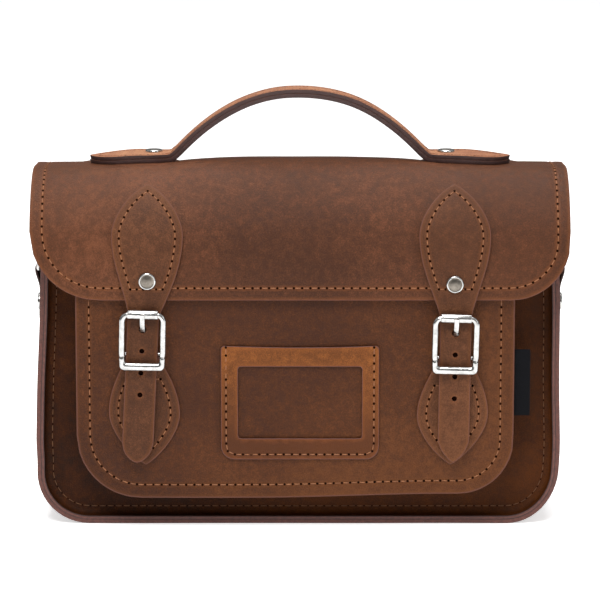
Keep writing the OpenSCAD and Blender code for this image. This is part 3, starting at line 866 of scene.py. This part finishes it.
def make_pocket():
    """The pocket's panel, the channel of leather behind it, and the card frame and tag on it."""
    line = [(POCKET_X, POCKET_Y, z) for z in np.linspace(POCKET_LOW, POCKET_TOP, 40)]
    face = Profile(line, ACROSS, lambda p, n: wave(p, 55.0, 0.5))
    rows = corner_rows(0.0, POCKET_R[-1], face.length, 5.0)

    def span(s):
        left, right = (u_half_width(POCKET_HALF, 0.0, POCKET_R[side], s) for side in (-1, 1))
        return -left, right

    inset = 8.2
    left, right = (
        [(face.length - 4, side * (POCKET_HALF - inset))] + [(z, x) for x, z in pocket_corner(side, inset)]
        for side in (-1, 1)
    )
    seam = left + right[::-1]
    layers = [POCKET_LEATHER, EDGE, SUEDE]
    panel = sheet("pocket_panel_leather", face, rows, span, 5.0, layers, BODY_T, [seam], bevel=0.9)
    finish_piece(lift_pocket(panel), "bag", "leather", "pocket_panel")
    lift_pocket(sew("pocket_stitching", [run_on(face, seam)], "bag"))
    back = POCKET_Y + BODY_T
    channel = [
        (0.25, back + 0.1), (6.0, back + 0.1), (10.5, back + 0.3), (12.4, back + 2.0), (13.0, back + 5.0),
        (13.0, PANEL_Y - 4.0), (12.4, PANEL_Y - 1.0), (10.5, PANEL_Y - 0.1), (0.4, PANEL_Y - 0.1),
    ]
    layers = [SHELL_LEATHER, EDGE, SHELL_LEATHER]
    gusset = ring_panel("pocket_gusset_leather", channel, POCKET_TOP, layers, 2.2, False, pocket_outline)
    finish_piece(gusset, "bag", "leather_shell", "pocket_gusset")
    make_card_frame()
    make_tag()


def rounded_loop(half_w, low, high, low_r, high_r, count=160):
    """A closed loop round a rectangle with rounded corners, evenly spaced from the middle of its top."""
    corners = [
        (half_w, high, high_r, 90),
        (half_w, low, low_r, 0),
        (-half_w, low, low_r, -90),
        (-half_w, high, high_r, -180),
    ]
    line = [(0.0, high)]
    for x, z, r, start in corners:
        cx = x - math.copysign(r, x)
        cz = z - r if z == high else z + r
        for i in range(9):
            a = math.radians(start - 90 * i / 8)
            line.append((cx + r * math.cos(a), cz + r * math.sin(a)))
    line.append((0.0, high))
    return resample(line, count=count)[:-1]


def make_card_frame():
    """A leather frame sewn on three sides, its open top edge bowing down a little."""
    outer = rounded_loop(CARD_HALF, CARD_LOW, CARD_HIGH, CARD_R, 2.0)
    inner = rounded_loop(WINDOW_HALF, WINDOW_LOW, WINDOW_HIGH, 1.6, 1.6)
    shares = (0.0, 0.06, 0.16, 0.3, 0.5, 0.7, 0.84, 0.94, 1.0)
    points, edges = [], []
    for share in shares:
        edge = min(share, 1 - share) * 10.0
        for x, z in (p + (q - p) * share for p, q in zip(outer, inner)):
            up = max(0.0, (z - WINDOW_HIGH) / (CARD_HIGH - WINDOW_HIGH))
            dip = up * math.cos(math.pi / 2 * min(1.0, abs(x) / CARD_HALF))
            y = POCKET_Y - CARD_T + 0.3 * math.exp(-edge / 0.7) + wave((x, 0, z), 30.0, 0.25)
            points.append((x, y, z - dip))
            edges.append(edge)
    faces = grid_faces(len(shares), len(outer), True)
    obj = make_object("card_frame_leather", points, faces, [CARD_LEATHER, EDGE, SUEDE], edge=edges)
    if obj.data.polygons[10].normal.y > 0:
        obj.data.flip_normals()
    thicken(obj, CARD_T, 0.4)
    finish_piece(apply_modifiers(obj), "bag", "leather_card", "card_frame")
    inset = 3.2
    seam = [(inset - CARD_HALF, CARD_HIGH - 1.0), (inset - CARD_HALF, CARD_LOW + CARD_R)]
    for i in range(7):
        a = math.pi + math.pi / 2 * i / 6
        r = CARD_R - inset
        seam.append((-CARD_HALF + CARD_R + r * math.cos(a), CARD_LOW + CARD_R + r * math.sin(a)))
    run = flat_run(seam + [(-x, z) for x, z in reversed(seam)], POCKET_Y - 1.95)
    sew("card_frame_stitching", [run], "bag")


def make_tag():
    """A folded ribbon whose two ends are caught in the pocket's seam."""
    y = POCKET_Y + BODY_T + 0.12
    out = np.linspace(TAG_EDGE, TAG_OUT, 8)
    line = [(TAG_IN, y, 0.0)] + [(x, y, 0.0) for x in out]
    for a in np.linspace(-math.pi / 2, math.pi / 2, 7)[1:]:
        line.append((TAG_OUT + TAG_FOLD_R * math.cos(a), y + TAG_FOLD_R + TAG_FOLD_R * math.sin(a), 0.0))
    line += [(x, y + 2 * TAG_FOLD_R, 0.0) for x in np.linspace(TAG_OUT, TAG_EDGE, 8)[1:]]
    ribbon = Profile(line, (0.0, 0.0, -1.0))
    obj = sheet("seam_tag_ribbon", ribbon, list(ribbon.s), lambda s: (-TAG_HIGH, -TAG_LOW), 4.0, [RIBBON] * 3,
                0.25, bevel=0.05)
    finish_piece(obj, "bag", "woven_tag", "seam_tag")


# ---- straps and buckle tabs
def leaf_half(share, neck, widest=0.6, swell=1.3):
    """Half width of a leaf-shaped strap end from its neck, share 0, to its tip, share 1."""
    if share < widest:
        return neck + (LEAF_HALF - neck) * math.sin(math.pi / 2 * max(0.0, share) / widest) ** swell
    return LEAF_HALF * max(0.0, 1 - ((share - widest) / (1 - widest)) ** 1.7) ** 0.85


def leaf_rows(neck_z, tip_z):
    """Heights along a leaf, close together towards its round tip."""
    shares = [i / 20 * 0.7 for i in range(20)]
    shares += [0.7 + 0.3 * math.sin(math.pi / 2 * i / 22) for i in range(22)] + [0.9995]
    return [neck_z + (tip_z - neck_z) * s for s in shares]


def leaf_seam(rows, span, low, high, inset, tip):
    """The two sides of the seam inside a leaf, between two positions along it, and the line from one side
    over the point at tip to the other."""
    left, right = [], []
    for s in rows:
        if low <= s <= high:
            a, b = span(s)
            slope = (span(s + 0.5)[1] - b) * 2
            pull = inset * math.sqrt(1 + min(slope * slope, 9.0))
            if b - a > 2 * pull + 1:
                left.append((s, a + pull))
                right.append((s, b - pull))
    point = [(tip, sum(span(tip)) / 2)]
    whole = left + point + right[::-1] if tip > high else left[::-1] + point + right
    return left, right, whole


def ring_line(s, t, radius):
    """A circle on a profile, as (s, t) points."""
    return [(s + radius * math.cos(a), t + radius * math.sin(a)) for a in np.linspace(0, 2 * math.pi, 17)]


def tail_x(side, z):
    """The middle of a strap's slanted tail at height z."""
    _, _, tail_slant, buckle_x, pivot_z, slant = STRAPS[side]
    hole_z = pivot_z + HOLE_RISE * math.cos(math.radians(slant))
    hole_x = buckle_x + HOLE_RISE * math.sin(math.radians(slant))
    return hole_x + (z - hole_z) * math.tan(math.radians(tail_slant))


def hole_heights(pivot_z):
    """The punched holes, the first of them where the prong passes through."""
    return [pivot_z + HOLE_RISE - i * HOLE_PITCH for i in range(4)]


def punch(x, z, radius):
    """A cutter for one punched hole."""
    return lathe("punch", [(radius, -8.0), (radius, 8.0)], (x, STRAP_Y, z), (0, 1, 0), NEEDLE_HOLE_SHADE, 22)


def stitch_leaf(name, profile, leaf_line, closing, body):
    """The thread round a leaf, and across it where it narrows."""
    sew(name, [run_on(profile, leaf_line, LEAF_PITCH), run_on(profile, closing, 4.0)], body)


def make_strap(side):
    """A front strap: a leaf sewn to the flap, and a punched tail that passes through the buckle."""
    rivet_x, rivet_z, _, _, pivot_z, _ = STRAPS[side]
    top = LEAF_TOP + rivet_z - STRAPS["l"][1]
    neck = FLEX_Z - 7
    line = [(0.0, y, z) for y, z in flap_line(STRAP_T) if y < -CREST_HALF and z > FLAP_LOW + 0.5]
    down = [(0.0, STRAP_Y, z) for z in np.linspace(TAIL_TIP, FLAP_LOW, 40)]
    profile = Profile(down + line, ACROSS, lambda p, n: wave(p, 35.0, 0.35))
    top_s = next(s for s, p in zip(profile.s, profile.line) if p[2] > top)
    neck_s = neck - TAIL_TIP
    point, side_power, tip_power = STRAP_POINTS[side]
    rows = [0.0, 0.4, 1.0, 2.0, 3.5, 5.5, 8.0, *np.linspace(point, neck_s, 23)[:-1]]
    rows += leaf_rows(neck_s, top_s)

    def span(s):
        z = TAIL_TIP + s
        if s <= neck_s:
            half = STRAP_HALF
            if s < point:
                half = STRAP_HALF * (1 - (1 - s / point) ** side_power) ** tip_power + 0.02
            centre = tail_x(side, z)
        else:
            share = (s - neck_s) / (top_s - neck_s)
            half = leaf_half(share, STRAP_HALF)
            sway = max(0.0, 1 - share / 0.42) ** 2
            centre = rivet_x + (tail_x(side, z) - rivet_x) * sway
        return centre - max(half, 0.02), centre + max(half, 0.02)

    left, right, leaf_line = leaf_seam(rows, span, neck_s + 16, top_s - 9.0, LEAF_SEAM, top_s - LEAF_SEAM_TIP)
    closing = [left[0], right[0]]
    heights = hole_heights(pivot_z)
    rings = [ring_line(z - TAIL_TIP, tail_x(side, z), HOLE_PUNCH_R + 0.1) for z in heights]
    obj = sheet("strap_" + side, profile, rows, span, 3.0, STRAP_LAYERS, STRAP_T,
                [leaf_line, closing] + rings, bevel=0.45)
    radii = [FIRST_HOLE_R] + [HOLE_PUNCH_R] * 3
    cut(obj, *[punch(tail_x(side, z), z, r) for z, r in zip(heights, radii)])
    # dark discs of painted shade inside the punched holes below the first
    shade = [[((tail_x(side, z), STRAP_Y + 2.2, z), OUTWARD)] for z in heights[1:]]
    sew("strap_hole_shade_" + side, shade, "strap_" + side, THREAD, STITCH_R, HOLE_PUNCH_R + 0.05)
    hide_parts("strap_leaf_" + side, "strap_tail_" + side)
    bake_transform(obj)
    stitch_leaf("strap_stitching_" + side, profile, leaf_line, closing, "flap")


def make_buckle_tab(side):
    """A leaf sewn to the pocket, with two thin ears that turn back over the buckle's bar beside the prong."""
    _, _, _, buckle_x, pivot_z, _ = STRAPS[side]
    leaf_y, ear_y, bend_z, neck_z = POCKET_Y - TAB_T, BAR_Y - TAB_T, pivot_z - 9.0, pivot_z - 2.0
    line = [(0.0, leaf_y, z) for z in np.linspace(TAB_TIP, bend_z, 24)]
    for share in np.linspace(0, 1, 7)[1:]:
        line.append((0.0, leaf_y + (ear_y - leaf_y) * smoothstep(share), bend_z + (neck_z - bend_z) * share))
    profile = Profile(line, ACROSS, lambda p, n: wave(p, 30.0, 0.25))
    neck_s = profile.length
    rows = sorted(neck_s - r for r in leaf_rows(0.0, neck_s))

    def span(s):
        half = max(0.02, leaf_half(1 - s / neck_s, STRAP_HALF, 0.53, 1.0))
        centre = buckle_x + TAB_LEAN[side] * (neck_s - s)
        return centre - half, centre + half

    left, right, leaf_line = leaf_seam(rows, span, 9.0, neck_s - 14, TAB_SEAM, LEAF_SEAM_TIP)
    closing = [left[-1], right[-1]]
    name, thickness = "buckle_tab_leather_" + side, TAB_T - 0.1
    obj = sheet(name, profile, rows, span, 3.0, STRAP_LAYERS, thickness, [leaf_line, closing], 0.45)
    finish_piece(obj, "bag", "leather", "buckle_tab_" + side)
    stitch_leaf("buckle_tab_stitching_" + side, profile, leaf_line, closing, "bag")
    turn = [(0.0, ear_y, neck_z - 1.0), (0.0, ear_y, neck_z)]
    for a in np.linspace(0, 2.6, 12):
        turn.append((0.0, BAR_Y - TAB_T * math.cos(a), pivot_z + TAB_T * math.sin(a)))
    around = Profile(turn, ACROSS)
    for where, low, high in (("_out", -STRAP_HALF, -PRONG_GAP), ("_in", PRONG_GAP, STRAP_HALF)):
        ear = sheet("buckle_tab_ear_" + side + where, around, list(around.s),
                    lambda s: (buckle_x + low, buckle_x + high), 3.0, STRAP_LAYERS, 0.95, bevel=0.2)
        finish_piece(ear, "bag", "leather")


# ---- handle
def arch(x):
    """Height of the handle above the crest, which it meets without a kink."""
    raw = ARCH_H * (1 - (abs(x) / ARCH_HALF) ** ARCH_POWER)
    return ARCH_SOFT * math.log1p(math.exp(raw / ARCH_SOFT))


def handle_half(x):
    """Half width of the handle: a straight grip that widens into two leaf-shaped ends."""
    x = abs(x)
    if x < GRIP_END:
        return GRIP_HALF
    if x < LEAF_X:
        turn = math.pi / 2 * (x - GRIP_END) / (LEAF_X - GRIP_END)
        return GRIP_HALF + (HANDLE_TAB_HALF - GRIP_HALF) * math.sin(turn) ** 1.3
    return HANDLE_TAB_HALF * max(0.0, 1 - ((x - LEAF_X) / (HANDLE_TIP - LEAF_X)) ** 2) ** 0.7


def handle_profile(out):
    """The handle's line, out from its lower face, and the x that each of its points comes from."""
    xs = np.linspace(-HANDLE_TIP, HANDLE_TIP, 161)
    heights = np.array([CREST_Z + arch(x) - end_droop(x) for x in xs])
    slopes = np.gradient(heights, xs)
    stretch = np.sqrt(1 + slopes**2)
    line = [(x - out * m / n, 0.0, z + out / n) for x, z, m, n in zip(xs, heights, slopes, stretch)]
    return Profile(line, OUTWARD, lambda p, n: wave(p, 30.0, 0.25)), xs


def handle_seam(profile, xs, sign):
    """One of the two seams along the handle, as (s, t) points."""
    line = []
    for s in profile.s:
        x = abs(np.interp(s, profile.s, xs))
        if x < HANDLE_TIP - 5:
            slope = (handle_half(x + 0.5) - handle_half(x)) * 2
            inset = HANDLE_SEAM * math.sqrt(1 + min(4.0, slope**2))
            line.append((s, sign * max(0.0, handle_half(x) - inset)))
    return line


def make_handle():
    """The handle's two layers, the stitching through them, and the washers under its rivets."""
    for name, node, out, material in (
        ("handle_lining_leather", "handle_lining", HANDLE_T, STRAP_LEATHER),
        # the cover's lighter leather is a painted highlight on the handle's top
        ("handle_cover_leather", "handle_cover", 2 * HANDLE_T, HANDLE_PAINTED_HIGHLIGHT_LEATHER),
    ):
        profile, xs = handle_profile(out)

        def span(s, profile=profile, xs=xs):
            half = max(0.05, handle_half(np.interp(s, profile.s, xs)))
            return -half, half

        end = profile.length
        near = [0.0, 0.15, 0.5, 1.1, 2.0]
        rows = near + [s for s in profile.s if 2.5 < s < end - 2.5] + [end - n for n in reversed(near)]
        seams = [handle_seam(profile, xs, sign) for sign in (-1, 1)]
        layers = [material, DARK_EDGE, SUEDE]
        obj = sheet(name, profile, rows, span, 3.0, layers, HANDLE_T - 0.05, seams, bevel=0.6)
        finish_piece(obj, "flap", "leather", node)
    sew("handle_stitching", [run_on(profile, seam, LEAF_PITCH) for seam in seams], "flap")
    rounded = [(WASHER_R - 0.5, 0.0), (WASHER_R, 0.5), (WASHER_R, WASHER_T - 0.5), (WASHER_R - 0.5, WASHER_T)]
    low = CREST_Z - FLAP_T - WASHER_T
    for sign, letter, nodes in ((-1, "l", ["handle_washers"]), (1, "r", [])):
        at = (sign * HANDLE_RIVET_X, 0.0, low)
        washer = lathe("handle_washer_" + letter, rounded, at, (0, 0, 1), SUEDE)
        finish_piece(washer, "flap", "leather", *nodes)


# ---- side tabs
def make_side_tab(side, sign):
    """A strip folded double round the D-ring's straight bar, with both ends riveted to the gusset."""
    t, foot, neck = SIDE_TAB_T, -12.0, 9.0
    loop = 1.6 + t
    line = [(2 * t, z) for z in np.linspace(foot, neck, 14)]
    for share in (0.2, 0.4, 0.6, 0.8):
        line.append((2 * (t + (loop - t) * smoothstep(share)), neck + (RING_RISE - neck) * share))
    line += [(loop + loop * math.cos(a), RING_RISE + loop * math.sin(a)) for a in np.linspace(0, math.pi, 15)]
    line += [(0.15, z) for z in np.linspace(RING_RISE - 3, foot, 14)]
    base_x = side_half(SIDE_Z)
    cos, sin = math.cos(SIDE_LEAN), math.sin(SIDE_LEAN)
    placed = [(sign * (base_x + x * cos - z * sin), 0.0, SIDE_Z + x * sin + z * cos) for x, z in line]
    profile = Profile(placed, (0.0, float(sign), 0.0))
    end = profile.length

    def span(s):
        low = min(s, end - s)
        half = SIDE_TAB_HALF
        if low < SIDE_TAB_HALF:
            half = math.sqrt(max(0.01, SIDE_TAB_HALF**2 - (SIDE_TAB_HALF - low) ** 2))
        return -half, half

    near = [0.0, 0.2, 0.6, 1.3, 2.3, 3.6, 5.2, 7.2, 9.5]
    rows = near + list(np.linspace(12, end - 12, 44)) + [end - n for n in reversed(near)]
    layers = [STRAP_LEATHER, DARK_EDGE, SUEDE]
    obj = sheet("side_tab_leather_" + side, profile, rows, span, 3.0, layers, t - 0.08, bevel=0.4)
    finish_piece(obj, "bag", "leather", "side_tab_" + side)


# ---- metal
# a rivet's cap with a rolled rim, as (radius, height), and the radius inside that rim, where the cap turns a
# darker nickel: a painted dark reflection
CAP = [
    (5.25, 0.0), (5.3, 0.5), (5.2, 1.0), (4.95, 1.35), (4.6, 1.52), (4.25, 1.5), (4.0, 1.42), (3.4, 1.5),
    (2.4, 1.72), (1.2, 1.86), (0.02, 1.9),
]
CAP_CENTRE_R = 4.25


def make_rivets():
    """The six rivet caps: two on the straps, two on the handle's ends and two on the side tabs."""
    for name, body in (("strap_rivet", "flap"), ("handle_rivet", "flap"), ("side_rivet", "bag")):
        for sign, side in ((-1, "l"), (1, "r")):
            if name == "strap_rivet":
                origin, axis = (STRAPS[side][0], STRAP_Y, STRAPS[side][1]), (0, -1, 0)
            elif name == "handle_rivet":
                origin, axis = (sign * HANDLE_RIVET_X, 0.0, CREST_Z + 2 * HANDLE_T + 0.05), (0, 0, 1)
            else:
                axis = (sign * math.cos(SIDE_LEAN), 0.0, math.sin(SIDE_LEAN))
                face = (sign * side_half(SIDE_Z), 0.0, SIDE_Z)
                origin = tuple(p + 2 * SIDE_TAB_T * c for p, c in zip(face, axis))
            # the cap's flat middle takes the darker nickel, a painted dark reflection
            cap = lathe(name + "_" + side, CAP, origin, axis, NICKEL, top=(CAP_CENTRE_R, NICKEL_PAINTED_DARK_REFLECTION))
            finish_piece(cap, body, "nickel", *([name + "s"] if side == "l" else []))


def buckle_point(side, x, y, z):
    """A point of a buckle, given across, out from the bag and up from its pivot bar."""
    _, _, _, buckle_x, pivot_z, slant = STRAPS[side]
    cos, sin = math.cos(math.radians(slant)), math.sin(math.radians(slant))
    return buckle_x + x * cos + z * sin, BAR_Y - y, pivot_z - x * sin + z * cos


def make_buckle_frame(side):
    """The frame: rounded wire that tapers to a keeper bar at its foot, with a nick in each arm."""
    outer = rounded_loop(FRAME_HALF, FRAME_FOOT, FRAME_TOP, 3.0, 5.6)
    inner = rounded_loop(FRAME_INNER_HALF, FRAME_FOOT + 4.9, FRAME_TOP - 3.4, 1.2, 2.4)
    section, count = 18, len(outer)
    points = []
    for k in range(section):
        a = 2 * math.pi * k / section
        across = 0.5 - 0.5 * math.cos(a)
        lift = FRAME_WIRE_R * math.sin(a)
        for p, q in zip(outer, inner):
            x, z = p + (q - p) * across
            taper = 1.0 - 0.035 * smoothstep((4.0 - z) / 12.0)
            nick = 0.45 * math.exp(-((z / 0.55) ** 2)) if abs(x) > 10 else 0.0
            x = x * taper - math.copysign(nick * (1 - across), x)
            points.append(buckle_point(side, x, FRAME_OUT + lift * (1 - nick), z))
    faces = [tuple(c % len(points) for c in face) for face in grid_faces(section + 1, count, True)]
    obj = make_object("buckle_frame_metal_" + side, points, faces, [NICKEL], smooth_angle=60)
    for s in (-1, 1):
        finish_piece(lug_block(side, s), "buckle_" + side, "nickel")
    middle, beside = (Vector(buckle_point(side, x, 0, 0)) for x in (0, 1))
    bar = lathe("pivot_bar_" + side, [(BAR_R, -12.6), (BAR_R, 12.6)], middle, beside - middle, NICKEL, 24)
    finish_piece(bar, "buckle_" + side, "nickel")
    finish_piece(obj, "buckle_" + side, "nickel", "buckle_frame_" + side)


def lug_block(side, s):
    """One of the two lugs that hold the pivot bar behind the frame."""
    corners = [(x, y, z) for x in (-1.2, 1.2) for y in (-0.8, 8.4) for z in (-1.5, 1.5)]
    points = [buckle_point(side, s * LUG_X + x, y, z) for x, y, z in corners]
    faces = [(0, 1, 3, 2), (4, 6, 7, 5), (0, 4, 5, 1), (2, 3, 7, 6), (0, 2, 6, 4), (1, 5, 7, 3)]
    name = "buckle_lug_" + side + ("_in" if s > 0 else "_out")
    obj = make_object(name, points, faces, [NICKEL])
    round_edges(obj, 0.5, 3, 30)
    return apply_modifiers(obj)


def plate_metal():
    """The CAD's own metal parts, with rounded edges and the nickel finish."""
    nodes = ["side_rivet_backs", "strap_rivet_backs", "handle_rivet_backs"]
    nodes += [n + s for n in ("roller_", "prong_", "d_ring_") for s in "lr"]
    for name in nodes:
        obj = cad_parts[name]
        obj.data.materials.clear()
        obj.data.materials.append(NICKEL)
        weld = obj.modifiers.new("weld", "WELD")
        weld.merge_threshold = 0.01 * MM
        round_edges(obj, 0.9 if "prong" in name else 0.4, 3, 40).harden_normals = True
        obj.data.polygons.foreach_set("use_smooth", [True] * len(obj.data.polygons))


# ---- studio
def make_studio():
    """A white floor and surround, darker below, with three square lights."""
    floor = bpy.data.objects.new("floor", bpy.data.meshes.new("floor"))
    floor.data.from_pydata([(-12, -6, 0), (12, -6, 0), (12, 18, 0), (-12, 18, 0)], [], [(0, 1, 2, 3)])
    floor.data.materials.append(studio_floor("studio_floor"))
    bpy.context.scene.collection.objects.link(floor)
    world = bpy.data.worlds.new("studio")
    world.use_nodes = True
    tree = world.node_tree
    up = tree.nodes.new("ShaderNodeSeparateXYZ")
    ramp = tree.nodes.new("ShaderNodeValToRGB")
    tree.links.new(tree.nodes.new("ShaderNodeTexCoord").outputs["Generated"], up.inputs["Vector"])
    tree.links.new(up.outputs["Z"], ramp.inputs["Fac"])
    tree.links.new(ramp.outputs["Color"], tree.nodes["Background"].inputs["Color"])
    ramp.color_ramp.elements[0].position = 0.12
    ramp.color_ramp.elements[0].color = (0.22, 0.22, 0.22, 1.0)
    ramp.color_ramp.elements[1].position = 0.55
    tree.nodes["Background"].inputs["Strength"].default_value = 0.45
    bpy.context.scene.world = world
    bpy.context.scene.view_settings.view_transform = "Standard"
    softbox("key", (-0.2, -1.2, 1.65), 0.8, 31.0)
    softbox("fill", (1.5, -1.2, 0.7), 0.9, 4.0)
    softbox("top", (0.0, 0.3, 1.8), 1.2, 24.0)


def softbox(name, at, size, power):
    """A square light that faces the bag."""
    light = bpy.data.lights.new(name, "AREA")
    light.size = size
    light.energy = power
    obj = bpy.data.objects.new(name, light)
    obj.location = at
    obj.rotation_euler = (Vector((0, 0, 0.1)) - Vector(at)).to_track_quat("-Z", "Y").to_euler()
    bpy.context.scene.collection.objects.link(obj)


def make_camera():
    """A long lens a little above the bag, tipped down at it."""
    data = bpy.data.cameras.new("camera")
    data.sensor_width = 36.0
    data.lens = 199.0
    distance, height, tip = 1.968, 0.499, 10.216
    camera = bpy.data.objects.new("camera", data)
    camera.location = (0.0, FLAP_Y * MM - distance, height)
    camera.rotation_euler = (math.radians(90 - tip), 0.0, 0.0)
    bpy.context.scene.collection.objects.link(camera)
    bpy.context.scene.camera = camera


make_flap()
make_body()
make_pocket()
for letter in "lr":
    make_strap(letter)
    make_buckle_tab(letter)
    make_buckle_frame(letter)
make_handle()
make_side_tab("l", -1)
make_side_tab("r", 1)
make_rivets()
plate_metal()
make_studio()
make_camera()
